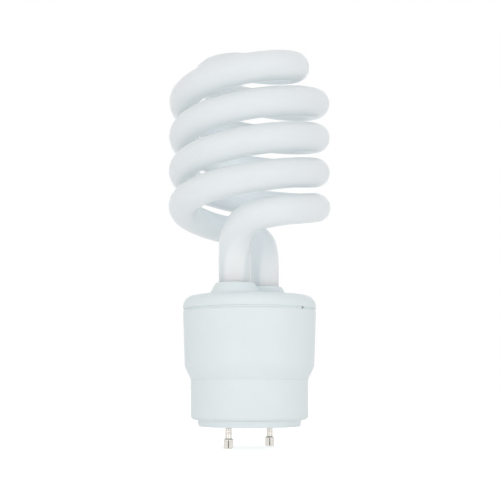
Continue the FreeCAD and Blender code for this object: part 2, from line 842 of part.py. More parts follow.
def make_toroid():
    x, y, turn = board_spot(0.10, -0.11)
    wire = size("toroid_wire")
    outer = size("toroid_diameter") / 2
    inner = size("toroid_bore") / 2
    height = size("toroid_height")
    gap = size("bond_gap")
    core = cut("toroid_core_cut", cylinder("toroid_outside", outer, height),
               cylinder("toroid_hole", inner, height))
    place(core, x, y, board_level - wire - gap - height, turn)
    add_node(core, "toroid_core")
    sleeves = []
    leads = []
    full = height + wire * 2 + gap * 2
    winding_count = 3
    for number in range(winding_count):
        start = HALF_TURN * 2 * number / winding_count
        slab = place(cylinder(f"sleeve_{number}", outer + wire + gap, full, size("toroid_winding_span")),
                     z=-full, turn=start)
        eye = place(cylinder(f"sleeve_eye_{number}", inner - wire - gap, full), z=-full)
        sleeves.append(cut(f"sleeve_ring_{number}", slab, eye))
        radius = (outer + inner) / 2
        for quarter in (1, 3):
            azimuth = start + size("toroid_winding_span") * quarter / 4
            leads.append((radius * cosine(azimuth), radius * sine(azimuth), -(wire / 2)))
    room = cut("toroid_room", cylinder("room_outside", outer + gap, height + gap * 2),
               cylinder("room_hole", inner - gap, height + gap * 2))
    place(room, z=-(height + wire + gap * 2))
    turns = cut("toroid_turns", fuse("sleeve_group", sleeves), room)
    mounted("toroid_winding", [turns], leads, (x, y, turn))


def make_filter_choke():
    radius = size("drum_diameter") / 2
    hub = size("drum_hub_diameter") / 2
    flange = size("drum_flange")
    gap = size("bond_gap")
    height = size("drum_winding_height") + flange * 2
    drum = fuse("drum", [
        place(cylinder("drum_top", radius, flange), z=-flange),
        place(cylinder("drum_hub", hub, height), z=-height),
        place(cylinder("drum_foot", radius, flange), z=-height),
    ])
    spot = board_spot(-0.60, -0.17)
    spread = (radius + hub) / 2
    low = -(flange / 2)
    mounted("filter_choke_core", [drum], [(ZERO, -spread, low), (ZERO, spread, low)], spot)
    winding_height = size("drum_winding_height") - gap * 2
    winding = cut("filter_turns",
                  cylinder("filter_turns_outside", radius - size("toroid_wire"), winding_height),
                  cylinder("filter_turns_inside", hub + gap, winding_height))
    place(winding, spot[0], spot[1], board_level - height + flange + gap)
    add_node(winding, "filter_choke_winding")


def make_transistors():
    radius = size("transistor_diameter") / 2
    pitch = size("transistor_lead_pitch")
    top = -size("transistor_standoff")
    spots = {"upper_transistor": board_spot(0.60, 0.06, 90), "lower_transistor": board_spot(0.60, 0.32, 90)}
    for label, spot in spots.items():
        bottom = top - size("transistor_height")
        barrel = place(cylinder(f"{label}_barrel", radius, size("transistor_height")), z=bottom)
        keep = block(f"{label}_flat", radius * 2, size("transistor_depth"), size("transistor_height"),
                     y=-radius, z=bottom)
        case = common(f"{label}_case", barrel, keep)
        low = top - size("lead_diameter")
        mounted(label, [case], [(pitch * hand, ZERO, low) for hand in (-1, 0, 1)], spot)


def make_axial(label, diameter, length, pitch, spot):
    """A leaded component that lies along the board, held by its two bent leads."""
    level = -(diameter / 2) - size("axial_standoff")
    lead = size("lead_diameter") / 2
    barrel = cross_rod(f"{label}_barrel", diameter / 2, length, level)
    wire = cross_rod(f"{label}_wire", lead, pitch, level)
    elbows = []
    spots = []
    for name, end in (("left", -(pitch / 2)), ("right", pitch / 2)):
        ball = bind(doc.addObject("Part::Sphere", f"{label}_{name}_elbow"), Radius=lead)
        elbows.append(place(ball, end, ZERO, level))
        spots.append((end, ZERO, level))
    mounted(label, [barrel, wire] + elbows, spots, spot)


def make_axial_parts():
    diode = (size("diode_diameter"), size("diode_length"), size("diode_pitch"))
    diode_spots = [board_spot(-0.19, -0.80), board_spot(0.22, -0.80), board_spot(0.80, -0.16, 90),
                   board_spot(0.80, 0.25, 90)]
    for number, spot in enumerate(diode_spots, start=1):
        make_axial(f"rectifier_diode_{number}", *diode, spot)
    make_axial("trigger_diode", size("trigger_diameter"), size("trigger_length"), size("trigger_pitch"),
               board_spot(-0.10, -0.395))
    resistor = (size("resistor_diameter"), size("resistor_length"), size("resistor_pitch"))
    spots = {
        "fuse_resistor": board_spot(-0.85, -0.18, 90),
        "upper_start_resistor": board_spot(-0.20, 0.80),
        "lower_start_resistor": board_spot(0.42, 0.09, 90),
    }
    for label, spot in spots.items():
        make_axial(label, *resistor, spot)


def wire_route(points, bend):
    """Straight runs through the points, joined by tangent arcs."""
    edges = []
    start = points[0]
    for before, corner, after in zip(points, points[1:], points[2:]):
        inward = (before - corner) / (before - corner).Length
        outward = (after - corner) / (after - corner).Length
        turn = math.pi - inward.getAngle(outward)
        setback = bend * math.tan(turn / 2)
        arc_start = corner + inward * setback
        arc_end = corner + outward * setback
        edges.append(Part.LineSegment(start, arc_start).toShape())
        edges.append(arc_edge(arc_start, -inward, arc_end))
        start = arc_end
    edges.append(Part.LineSegment(start, points[-1]).toShape())
    return edges


def make_tube_wires():
    width = size("wrap_post_width")
    half_diagonal = width * math.sqrt(0.5)
    wire_level = board_top + size("tube_wire_lift")
    reach = leg_radius + size("tube_wire_reach")
    post_height = size("board_thickness") + size("wrap_post_height") + size("lead_stub")
    for side, azimuth in leg_sides.items():
        outward = direction(math.radians(azimuth.value))
        sideways = Vector(-outward.y, outward.x, 0)
        for hand, sign in (("a", -1), ("b", 1)):
            spread = size("tube_wire_spread") * sign
            post_x = reach * cosine(azimuth) - spread * sine(azimuth)
            post_y = reach * sine(azimuth) + spread * cosine(azimuth)
            corner_x = post_x - width / 2 * cosine(azimuth) + width / 2 * sine(azimuth)
            corner_y = post_y - width / 2 * sine(azimuth) - width / 2 * cosine(azimuth)
            post = bind(doc.addObject("Part::Box", f"{side}_{hand}_post"), Length=width, Width=width,
                        Height=post_height)
            place(post, corner_x, corner_y, board_level - size("lead_stub"), azimuth)
            add_node(post, f"{side}_wrap_post_{hand}")
            hole = cylinder(f"{side}_{hand}_post_hole", half_diagonal + size("lead_clearance"),
                            size("board_thickness"))
            drillings.append(place(hole, post_x, post_y, board_level))
            top = outward * leg_radius.value + sideways * spread.value
            face = outward * (reach - width / 2).value + sideways * spread.value
            points = [top + Vector(0, 0, leg_end_level.value), top + Vector(0, 0, wire_level.value),
                      face + Vector(0, 0, wire_level.value)]
            edges = wire_route(points, size("tube_wire_bend").value)
            wire = swept_round(f"{side}_{hand}_tube_wire", edges, size("tube_wire_diameter"))
            add_node(wire, f"{side}_tube_wire_{hand}")


def make_supply_wires():
    tail_level = floor_level + size("pin_flange_height") + size("pin_tail_length")
    run = size("supply_wire_run").value
    for side, azimuth in pin_sides.items():
        outward = direction(math.radians(azimuth.value))
        low = outward * pin_radius.value
        high = outward * (pin_radius + size("supply_wire_offset")).value
        points = [low + Vector(0, 0, tail_level.value), low + Vector(0, 0, tail_level.value + run),
                  high + Vector(0, 0, board_level.value - run), high + Vector(0, 0, board_level.value)]
        edges = wire_route(points, size("supply_wire_bend").value)
        wire = swept_round(f"{side}_supply_wire", edges, size("supply_wire_diameter"))
        add_node(wire, f"{side}_supply_wire")


def make_circuit_board():
    disc = place(cylinder("board_disc", board_radius, size("board_thickness")), z=board_level)
    add_node(cut("board_drilled", disc, fuse("board_holes", drillings)), "circuit_board")


tube_length = make_spiral_tube()
make_base_cap()
make_contact_pins()
make_ballast_housing()
make_tube_cover()
make_cement()
make_bulk_capacitor()
make_film_capacitors()
make_ballast_choke()
make_toroid()
make_filter_choke()
make_transistors()
make_axial_parts()
make_tube_wires()
make_supply_wires()
make_circuit_board()
doc.recompute()

for item in doc.Objects:
    if "Invalid" in item.State or "Error" in item.State:
        raise RuntimeError(f"{item.Name} failed: {item.State}")
for label, feature in nodes.items():
    if feature.Shape.isNull() or not feature.Shape.isValid():
        raise RuntimeError(f"{label} has no valid shape")

expected = math.pi * tube_radius.value ** 2 * tube_length
print(f"tube volume {nodes['spiral_tube'].Shape.Volume:.1f}, section times length {expected:.1f}")

os.makedirs("parts", exist_ok=True)
for label, feature in nodes.items():
    feature.Shape.exportStep(f"parts/{label}.step")
print(f"{len(nodes)} nodes written")
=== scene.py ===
import json
import math
import bmesh
import bpy
import numpy as np
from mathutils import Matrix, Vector


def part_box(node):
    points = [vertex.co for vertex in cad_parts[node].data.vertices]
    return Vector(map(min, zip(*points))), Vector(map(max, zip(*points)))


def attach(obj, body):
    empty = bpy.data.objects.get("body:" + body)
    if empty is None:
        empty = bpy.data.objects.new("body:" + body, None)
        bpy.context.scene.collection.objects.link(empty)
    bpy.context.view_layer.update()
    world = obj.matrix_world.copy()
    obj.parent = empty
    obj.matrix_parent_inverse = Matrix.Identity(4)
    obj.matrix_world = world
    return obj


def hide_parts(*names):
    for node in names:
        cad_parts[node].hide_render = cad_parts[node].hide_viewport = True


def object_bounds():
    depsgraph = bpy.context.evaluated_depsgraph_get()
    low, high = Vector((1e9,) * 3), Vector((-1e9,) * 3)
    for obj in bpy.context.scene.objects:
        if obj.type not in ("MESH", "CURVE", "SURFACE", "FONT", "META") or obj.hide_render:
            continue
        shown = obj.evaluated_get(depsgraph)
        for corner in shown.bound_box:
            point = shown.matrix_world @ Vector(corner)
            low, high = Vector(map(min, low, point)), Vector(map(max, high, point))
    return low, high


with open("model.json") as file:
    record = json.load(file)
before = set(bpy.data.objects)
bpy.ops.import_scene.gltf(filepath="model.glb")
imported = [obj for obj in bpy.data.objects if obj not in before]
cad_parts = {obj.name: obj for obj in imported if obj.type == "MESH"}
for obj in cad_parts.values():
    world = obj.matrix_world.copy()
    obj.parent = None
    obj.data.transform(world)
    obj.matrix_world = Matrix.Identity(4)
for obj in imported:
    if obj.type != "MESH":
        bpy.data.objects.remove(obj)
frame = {"nodes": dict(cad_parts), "record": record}
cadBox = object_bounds()
mm = 0.001
degree = math.pi / 180
upward = np.array([0.0, 0.0, 1.0])
halfTurn = np.array([-1.0, -1.0, 1.0])
mergeGap = 0.001 * mm    # grid edges closer than this become one
straightGap = 1e-4       # a corner this close to straight, in radians, isn't rounded
print("frame loaded:", len(frame["nodes"]), "nodes")


def addObject(name, data):
    item = bpy.data.objects.new(name, data)
    bpy.context.scene.collection.objects.link(item)
    return item


# Camera: low in front of the lamp and tilted up, as in the photograph
cameraSizes = {
    "place": (0.2 * mm, -420 * mm, 17.5 * mm),
    "tiltUp": 7.25 * degree,
    "focalPixels": 1037,     # focal length in pixels of the 500 pixel frame
    "framePixels": 500,
    "sensor": 36,
    "nearClip": 0.01,
}


def addCamera(sizes):
    lens = bpy.data.cameras.new("photoCamera")
    lens.sensor_width = sizes["sensor"]
    lens.lens = sizes["sensor"] * sizes["focalPixels"] / sizes["framePixels"]
    lens.clip_start = sizes["nearClip"]
    camera = addObject("photoCamera", lens)
    camera.location = sizes["place"]
    camera.rotation_euler = (math.pi / 2 + sizes["tiltUp"], 0, 0)
    bpy.context.scene.camera = camera


addCamera(cameraSizes)
print("camera placed")


# Surfaces: every piece is a few grids of rows x columns x 3 points
def compass(angle):
    # unit vector in plan, counted from +X towards +Y
    return np.stack([np.cos(angle), np.sin(angle), np.zeros_like(angle)], axis=-1)


def unit(vector):
    return vector / np.linalg.norm(vector)


def roundedOutline(corners, steps=7):
    # open outline through (radius, level, rounding) corners; a rounding is an arc that touches both sides
    corners = np.array(corners, float)
    outline = [corners[:1, :2]]
    for before, corner, after in zip(corners, corners[1:], corners[2:]):
        back, ahead = unit(before[:2] - corner[:2]), unit(after[:2] - corner[:2])
        half = math.acos(np.clip(back @ ahead, -1, 1)) / 2
        if corner[2] == 0 or half > math.pi / 2 - straightGap:
            outline.append(corner[None, :2])
            continue
        centre = corner[:2] + unit(back + ahead) * corner[2] / math.sin(half)
        setback = corner[2] / math.tan(half)
        first, last = corner[:2] + back * setback - centre, corner[:2] + ahead * setback - centre
        turn = math.pi - 2 * half
        share = np.linspace(0, 1, steps)[:, None]
        arc = (np.sin((1 - share) * turn) * first + np.sin(share * turn) * last) / math.sin(turn)
        outline.append(centre + arc)
    outline.append(corners[-1:, :2])
    return np.concatenate(outline)


def turned(outline, columns, axis):
    # an outline of (radius, level) points carried round an upright axis
    around = compass(np.linspace(0, 2 * math.pi, columns + 1))
    grid = outline[:, None, :1] * around + outline[:, None, 1:] * upward
    return grid + np.array([*axis, 0.0])


def addPiece(name, grids, material, node, sharpAngle=38 * degree):
    # quads between neighbouring grid points, with the share of columns and rows as UV;
    # grid edges that meet are merged into one shell
    points, quads, shares, count = [], [], [], 0
    for grid in grids:
        rows, columns = grid.shape[:2]
        index = np.arange(rows * columns).reshape(rows, columns) + count
        corners = [index[:-1, :-1], index[:-1, 1:], index[1:, 1:], index[1:, :-1]]
        quads.append(np.stack(corners, axis=-1).reshape(-1, 4))
        around, along = np.meshgrid(np.linspace(0, 1, columns), np.linspace(0, 1, rows))
        shares.append(np.stack([around, along], axis=-1).reshape(-1, 2))
        points.append(grid.reshape(-1, 3))
        count += rows * columns
    points, quads, shares = (np.concatenate(part) for part in (points, quads, shares))
    mesh = bpy.data.meshes.new(name)
    mesh.vertices.add(len(points))
    mesh.vertices.foreach_set("co", points.astype(np.float32).ravel())
    mesh.loops.add(quads.size)
    mesh.loops.foreach_set("vertex_index", quads.ravel().astype(np.int32))
    mesh.polygons.add(len(quads))
    mesh.polygons.foreach_set("loop_start", np.arange(0, quads.size, 4, dtype=np.int32))
    mesh.update(calc_edges=True)
    layer = mesh.uv_layers.new(name="surface")
    layer.data.foreach_set("uv", shares[quads.ravel()].astype(np.float32).ravel())
    shell = bmesh.new()
    shell.from_mesh(mesh)
    bmesh.ops.remove_doubles(shell, verts=shell.verts, dist=mergeGap)
    bmesh.ops.recalc_face_normals(shell, faces=shell.faces)
    openEdges = sum(1 for edge in shell.edges if len(edge.link_faces) != 2)
    shell.to_mesh(mesh)
    shell.free()
    mesh.shade_smooth()
    mesh.set_sharp_from_angle(angle=sharpAngle)
    mesh.materials.append(material)
    piece = addObject(name, mesh)
    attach(piece, "root")
    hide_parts(node)
    print(name, len(mesh.polygons), "faces,", openEdges, "open edges")


# Node helpers for the materials
def feed(tree, value, socket):
    # an output is linked to the socket, a number is set on it
    if isinstance(value, bpy.types.NodeSocket):
        tree.links.new(value, socket)
    else:
        socket.default_value = value


def math2(tree, operation, first, second):
    node = tree.nodes.new("ShaderNodeMath")
    node.operation = operation
    feed(tree, first, node.inputs[0])
    feed(tree, second, node.inputs[1])
    return node.outputs[0]


def spread(tree, value, low, high, start, end):
    # a value between low and high becomes one between start and end, eased at both ends
    node = tree.nodes.new("ShaderNodeMapRange")
    node.interpolation_type = "SMOOTHSTEP"
    labels = ("Value", "From Min", "From Max", "To Min", "To Max")
    for label, number in zip(labels, (value, low, high, start, end)):
        feed(tree, number, node.inputs[label])
    return node.outputs[0]


def mixColours(tree, factor, first, second):
    node = tree.nodes.new("ShaderNodeMix")
    node.data_type = "RGBA"
    for socket, value in ((node.inputs[0], factor), (node.inputs[6], first), (node.inputs[7], second)):
        tree.links.new(value, socket)
    return node.outputs[2]


def noise(tree, vector, scale, detail):
    node = tree.nodes.new("ShaderNodeTexNoise")
    for label, value in (("Vector", vector), ("Scale", scale), ("Detail", detail)):
        feed(tree, value, node.inputs[label])
    return node.outputs[0]


def axes(tree, vector):
    # the X, Y and Z outputs of a vector
    node = tree.nodes.new("ShaderNodeSeparateXYZ")
    tree.links.new(vector, node.inputs[0])
    return node.outputs


def addGroup(name, inputs, outputs):
    # a node group with sockets given as label and kind
    tree = bpy.data.node_groups.new(name, "ShaderNodeTree")
    for way, sockets in (("INPUT", inputs), ("OUTPUT", outputs)):
        for label, kind in sockets.items():
            tree.interface.new_socket(label, in_out=way, socket_type="NodeSocket" + kind)
    return tree, tree.nodes.new("NodeGroupInput"), tree.nodes.new("NodeGroupOutput")


def blendTones(tree, given, result, share):
    # from Tone towards Shade, by a share of the Amount
    factor = math2(tree, "MULTIPLY", share, given.outputs["Amount"])
    colour = mixColours(tree, factor, given.outputs["Tone"], given.outputs["Shade"])
    tree.links.new(colour, result.inputs["Color"])


toneInputs = {"Vector": "Vector", "Amount": "Float", "Tone": "Color", "Shade": "Color"}
toneOutputs = {"Color": "Color", "Height": "Float"}
toneSpan = (0.35, 0.65)      # this middle part of the noise takes the colour from one tone to the other
roughSpan = (0.3, 0.7)       # and this part the roughness
mottleSizes = {"patchShare": 0.05, "fineDetail": 3, "patchDetail": 2, "fineWeight": 0.5}


def buildMottle(sizes):
    # fine grain and broad patches of two near tones, as in powder, ceramic or moulded plastic
    tree, given, result = addGroup("mottledTone", {**toneInputs, "Scale": "Float"}, toneOutputs)
    fine = noise(tree, given.outputs["Vector"], given.outputs["Scale"], sizes["fineDetail"])
    patchScale = math2(tree, "MULTIPLY", given.outputs["Scale"], sizes["patchShare"])
    patch = noise(tree, given.outputs["Vector"], patchScale, sizes["patchDetail"])
    both = math2(tree, "ADD", math2(tree, "MULTIPLY", fine, sizes["fineWeight"]),
                 math2(tree, "MULTIPLY", patch, 1 - sizes["fineWeight"]))
    blendTones(tree, given, result, spread(tree, both, *toneSpan, 0, 1))
    tree.links.new(fine, result.inputs["Height"])
    return tree


streakSizes = {"detail": 2}


def buildStreaks(sizes):
    # noise pulled out along one direction: turning marks or wound wire
    tree, given, result = addGroup("streakedTone", {**toneInputs, "Scale": "Float", "Stretch": "Vector"},
                                   toneOutputs)
    pulled = tree.nodes.new("ShaderNodeVectorMath")
    pulled.operation = "MULTIPLY"
    tree.links.new(given.outputs["Vector"], pulled.inputs[0])
    tree.links.new(given.outputs["Stretch"], pulled.inputs[1])
    lines = noise(tree, pulled.outputs[0], given.outputs["Scale"], sizes["detail"])
    blendTones(tree, given, result, spread(tree, lines, *toneSpan, 0, 1))
    tree.links.new(lines, result.inputs["Height"])
    return tree


paintedBandSizes = {"wander": 0.10, "wanderScale": 14, "wanderDetail": 2, "fullTone": 0.0}


def buildPaintedBands(sizes):
    # painted reflections and painted shade in lengthwise bands round a tube: a cosine of the share of a turn,
    # with a little noise so that they wander
    tree, given, result = addGroup("paintedLightBands", {**toneInputs, "Bands": "Float", "Start": "Float"},
                                   {"Color": "Color"})
    fromStart = math2(tree, "SUBTRACT", axes(tree, given.outputs["Vector"])["X"], given.outputs["Start"])
    turns = math2(tree, "MULTIPLY", fromStart, given.outputs["Bands"])
    wander = noise(tree, given.outputs["Vector"], sizes["wanderScale"], sizes["wanderDetail"])
    turns = math2(tree, "ADD", turns, math2(tree, "MULTIPLY", wander, sizes["wander"]))
    wave = math2(tree, "COSINE", math2(tree, "MULTIPLY", turns, 2 * math.pi), 0)
    blendTones(tree, given, result, spread(tree, wave, -1, sizes["fullTone"], 1, 0))
    return tree


mottleGroup = buildMottle(mottleSizes)
paintedBandGroup = buildPaintedBands(paintedBandSizes)
streakGroup = buildStreaks(streakSizes)


def opaque(colour):
    return (*colour, 1)


def newMaterial(name, **constants):
    # a Principled shader with its constants
    material = bpy.data.materials.new(name)
    material.use_nodes = True
    tree = material.node_tree
    shader = tree.nodes["Principled BSDF"]
    for label, value in constants.items():
        shader.inputs[label.replace("_", " ")].default_value = value
    return material, tree, shader


def coordinates(tree, kind):
    return tree.nodes.new("ShaderNodeTexCoord").outputs[kind]


def placeGroup(tree, group, vector, **values):
    node = tree.nodes.new("ShaderNodeGroup")
    node.node_tree = group
    tree.links.new(vector, node.inputs["Vector"])
    for label, value in values.items():
        node.inputs[label].default_value = value
    return node


def placeTone(tree, group, finish, **more):
    # a group that mixes the finish's two tones through the piece
    return placeGroup(tree, group, coordinates(tree, "Object"),
                      Scale=finish["grain"], Amount=finish["amount"],
                      Tone=opaque(finish["tone"]), Shade=opaque(finish["shade"]), **more)


def addBump(tree, shader, pattern, finish):
    bump = tree.nodes.new("ShaderNodeBump")
    bump.inputs["Strength"].default_value = finish["bump"]
    bump.inputs["Distance"].default_value = finish["bumpDepth"]
    tree.links.new(pattern.outputs["Height"], bump.inputs["Height"])
    tree.links.new(bump.outputs["Normal"], shader.inputs["Normal"])


def addRoughness(tree, shader, pattern, finish):
    roughness = spread(tree, pattern.outputs["Height"], *roughSpan, finish["smooth"], finish["rough"])
    tree.links.new(roughness, shader.inputs["Roughness"])


glassFinish = {
    "tone": (0.812, 0.857, 0.878), "shade": (0.792, 0.839, 0.862), "grain": 900, "amount": 0.6,
    # the legs' light and dark bands are painted reflections and painted shade
    "legTintAndPaintedHighlight": (0.902, 0.935, 0.972), "paintedLegShade": (0.750, 0.808, 0.828), "paintedBandCount": 3, "paintedBandAmount": 0.9,
    "frontPaintedHighlight": 0.285, "rearPaintedHighlight": 0.354,     # where round each leg the painted highlight band lies, as a share of a turn
    "milkiness": 0.9, "milkSpread": (1, 1, 1), "milkDepth": 14 * mm,     # how light spreads inside the tube
    "legLow": 60 * mm, "legHigh": 80 * mm,     # the legs' look fades into the coil's between these levels
    "coilRoughness": 0.38, "legRoughness": 0.30,
    "coat": 0.12, "coatRoughness": 0.08, "refraction": 1.45,
    "bump": 0.04, "bumpDepth": 0.05 * mm,
}


def coatedGlass(finish):
    # white powder behind clear glass; on the legs the powder is thin, with painted reflections and painted
    # shade in lengthwise bands
    material, tree, shader = newMaterial(
        "coatedGlass", Coat_Weight=finish["coat"], Coat_Roughness=finish["coatRoughness"],
        IOR=finish["refraction"], Subsurface_Weight=finish["milkiness"],
        Subsurface_Radius=finish["milkSpread"], Subsurface_Scale=finish["milkDepth"])
    powder = placeTone(tree, mottleGroup, finish)
    surface = coordinates(tree, "UV")
    # painted reflections and painted shade: lighter and darker lengthwise bands round the legs
    paintedLegLight = placeGroup(tree, paintedBandGroup, surface, Bands=finish["paintedBandCount"], Amount=finish["paintedBandAmount"],
                      Tone=opaque(finish["legTintAndPaintedHighlight"]), Shade=opaque(finish["paintedLegShade"]))
    start = spread(tree, axes(tree, surface)["Y"], 0, 1, finish["frontPaintedHighlight"], finish["rearPaintedHighlight"])
    tree.links.new(start, paintedLegLight.inputs["Start"])
    height = axes(tree, coordinates(tree, "Object"))["Z"]
    leg = spread(tree, height, finish["legLow"], finish["legHigh"], 1, 0)
    colour = mixColours(tree, leg, powder.outputs["Color"], paintedLegLight.outputs["Color"])
    tree.links.new(colour, shader.inputs["Base Color"])
    roughness = spread(tree, leg, 0, 1, finish["coilRoughness"], finish["legRoughness"])
    tree.links.new(roughness, shader.inputs["Roughness"])
    addBump(tree, shader, powder, finish)
    return material


caseFinish = {
    "tone": (0.845, 0.912, 0.926), "shade": (0.815, 0.885, 0.902), "grain": 2200, "amount": 0.55,
    "smooth": 0.40, "rough": 0.52, "refraction": 1.46, "bump": 0.10, "bumpDepth": 0.04 * mm,
}


def mouldedCase(finish):
    # satin moulding: fine spark texture in bump and roughness, and a faint flow pattern in the colour
    material, tree, shader = newMaterial("mouldedCase", IOR=finish["refraction"])
    skin = placeTone(tree, mottleGroup, finish)
    tree.links.new(skin.outputs["Color"], shader.inputs["Base Color"])
    addRoughness(tree, shader, skin, finish)
    addBump(tree, shader, skin, finish)
    return material


nickelFinish = {
    "tone": (0.800, 0.775, 0.730), "shade": (0.640, 0.610, 0.560), "grain": 4200, "amount": 0.6,
    "stretch": (0.03, 0.03, 1), "smooth": 0.13, "rough": 0.26, "bump": 0.06, "bumpDepth": 0.02 * mm,
}


def turnedNickel(finish):
    # plated turned metal: fine rings round the pin in colour, roughness and bump
    material, tree, shader = newMaterial("turnedNickel", Metallic=1)
    rings = placeTone(tree, streakGroup, finish, Stretch=finish["stretch"])
    tree.links.new(rings.outputs["Color"], shader.inputs["Base Color"])
    addRoughness(tree, shader, rings, finish)
    addBump(tree, shader, rings, finish)
    return material


glassMaterial = coatedGlass(glassFinish)
caseMaterial = mouldedCase(caseFinish)
nickelMaterial = turnedNickel(nickelFinish)
print("visible finishes ready")


# Spiral tube
tubeSizes = {
    "radius": 5.9 * mm,
    "legSwell": 0.29 * mm,         # the tube is a little thicker at its cut ends
    "swellRun": 20 * mm,           # full over this run from an end, and gone after as much again
    "turnGap": 2.7 * mm,
    "coilStart": 88.4 * mm,        # level of the first start where it crosses +X
    "coilEnd": 650 * degree,
    "crownRun": 25 * mm,
    "crestLift": 2.7 * mm,         # the tube is highest a little past the axis
    "crestShift": 26 * mm,
    "crestReach": 60 * mm,
    "legReach": 11.45 * mm,
    "legAzimuth": -121.6 * degree,
    "legBend": 25 * mm,
    "stationGap": 0.9 * mm,
    "bendStations": 32,
    "ringPoints": 56,
}


def halfCentreline(sizes, coilRadius, legEnd):
    # in plan: a circle half the coil's size leads from the leg out to the coil, and another back to the axis;
    # in height: a bend out of the upright leg, the even climb of the coil, and an arc that levels on the axis
    climb = 2 * (2 * sizes["radius"] + sizes["turnGap"]) / (2 * math.pi * coilRadius)
    slope = math.atan(climb)
    small = coilRadius / 2
    join = sizes["legAzimuth"] + math.acos(sizes["legReach"] / coilRadius)
    leadCentre = compass(np.array(join)) * small
    toLeg = compass(np.array(sizes["legAzimuth"])) * sizes["legReach"] - leadCentre
    start = math.atan2(toLeg[1], toLeg[0])
    leadEnd = small * ((join - start) % (2 * math.pi))
    coilDone = leadEnd + coilRadius * (sizes["coilEnd"] - join)
    total = coilDone + small * math.pi
    bend = sizes["legBend"]
    bendRun = bend * (1 - math.sin(slope))
    levelRun = total - sizes["crownRun"]
    levelRadius = sizes["crownRun"] / math.sin(slope)
    bendTop = sizes["coilStart"] + climb * coilRadius * join - (leadEnd - bendRun) * climb
    bendFoot = bendTop - bend * math.cos(slope)
    legRuns = np.arange(legEnd - bendFoot, 0, sizes["stationGap"])
    bendRuns = bend * (1 - np.sin(np.linspace(math.pi / 2, slope, sizes["bendStations"], endpoint=False)))
    restRuns = np.linspace(bendRun, total, math.ceil((total - bendRun) / sizes["stationGap"]))
    signedRun = np.concatenate([legRuns, bendRuns, restRuns])
    run = np.maximum(signedRun, 0)
    onLead, onCoil = run < leadEnd, (run >= leadEnd) & (run < coilDone)
    coilAngle = join + (run - leadEnd) / coilRadius
    crownAngle = sizes["coilEnd"] + (run - coilDone) / small
    angle = np.where(onLead, start + run / small, np.where(onCoil, coilAngle, crownAngle))
    circle = np.where(onLead[:, None], leadCentre,
                      np.where(onCoil[:, None], 0, compass(np.array(sizes["coilEnd"])) * small))
    reach = np.where(onCoil, coilRadius, small)
    bendIncline = np.arcsin(np.clip(1 - run / bend, -1, 1))
    levelIncline = np.arcsin(np.clip(math.sin(slope) - (run - levelRun) / levelRadius, 0, 1))
    incline = np.where(run < bendRun, bendIncline, np.where(run < levelRun, slope, levelIncline))
    levelStart = bendTop + (levelRun - bendRun) * climb
    height = np.where(run < bendRun, bendFoot + bend * np.cos(bendIncline),
                      np.where(run < levelRun, bendTop + (run - bendRun) * climb,
                               levelStart + levelRadius * (np.cos(levelIncline) - math.cos(slope))))
    height = height + np.minimum(signedRun, 0)
    outward = compass(angle)
    centre = circle + reach[:, None] * outward + height[:, None] * upward
    heading = compass(angle + math.pi / 2) * np.cos(incline)[:, None] + np.sin(incline)[:, None] * upward
    return centre, outward, heading, total - signedRun


def withCrest(centre, heading, pastAxis, sizes):
    # one wave added to the height, and its steepness to the heading
    phase = np.clip((pastAxis - sizes["crestShift"]) / sizes["crestReach"], -1, 1) * math.pi
    steepness = -sizes["crestLift"] * math.pi / (2 * sizes["crestReach"]) * np.sin(phase)
    heading = heading + (steepness * np.hypot(heading[:, 0], heading[:, 1]))[:, None] * upward
    centre = centre + (sizes["crestLift"] * (1 + np.cos(phase)) / 2)[:, None] * upward
    return centre, heading / np.linalg.norm(heading, axis=1)[:, None]


def spiralTubeGrid(sizes):
    # a circle carried along the centreline and along its half-turned copy back down, closed at both leg ends
    low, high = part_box("spiral_tube")
    centre, outward, heading, toGo = halfCentreline(sizes, high.x - sizes["radius"], low.z)
    centre = np.concatenate([centre, (centre * halfTurn)[-2::-1]])
    outward = np.concatenate([outward, outward[-2::-1]])
    heading = np.concatenate([heading, (-heading * halfTurn)[-2::-1]])
    centre, heading = withCrest(centre, heading, np.concatenate([-toGo, toGo[-2::-1]]), sizes)
    toEnd = np.concatenate([toGo[0] - toGo, (toGo[0] - toGo)[-2::-1]])
    reach = sizes["radius"] + sizes["legSwell"] * np.clip(2 - toEnd / sizes["swellRun"], 0, 1)
    ends = np.r_[0, np.arange(len(centre)), len(centre) - 1]
    reach = np.concatenate([[0], reach, [0]])
    side = np.cross(heading, outward)
    turn = np.linspace(0, 2 * math.pi, sizes["ringPoints"] + 1)[None, :, None]
    ring = np.cos(turn) * outward[ends][:, None] + np.sin(turn) * side[ends][:, None]
    return centre[ends][:, None] + reach[:, None, None] * ring


addPiece("spiralTube", [spiralTubeGrid(tubeSizes)], glassMaterial, "spiral_tube")


# Round plates with two holes: the tube cover and the floor of the base cap
def plateEdge(rim, rimRounding, sizes):
    # the edge of half a disc in (along, across): the line through its middle, closer spaced under the rim's
    # rounding, then the rim; the last result lists the rim's points from corner to corner
    flat = np.linspace(rimRounding - rim, rim - rimRounding, sizes["lineCount"])
    curve = rim - rimRounding * (1 - np.sin(np.linspace(0, math.pi / 2, sizes["roundCount"] + 1)[1:]))
    across = np.concatenate([-curve[::-1], flat, curve])
    sweep = np.linspace(math.pi / 2, -math.pi / 2, sizes["arcCount"] + 1)[1:-1]
    along = np.concatenate([np.zeros_like(across), rim * np.cos(sweep)])
    edge = np.stack([along, np.concatenate([across, rim * np.sin(sweep)])], axis=-1)
    return edge, np.r_[len(across) - 1:len(edge), 0]


def level(points, height):
    # plan points lifted to one height, or to a height each
    return np.concatenate([points, np.broadcast_to(height, len(points))[:, None]], axis=1)


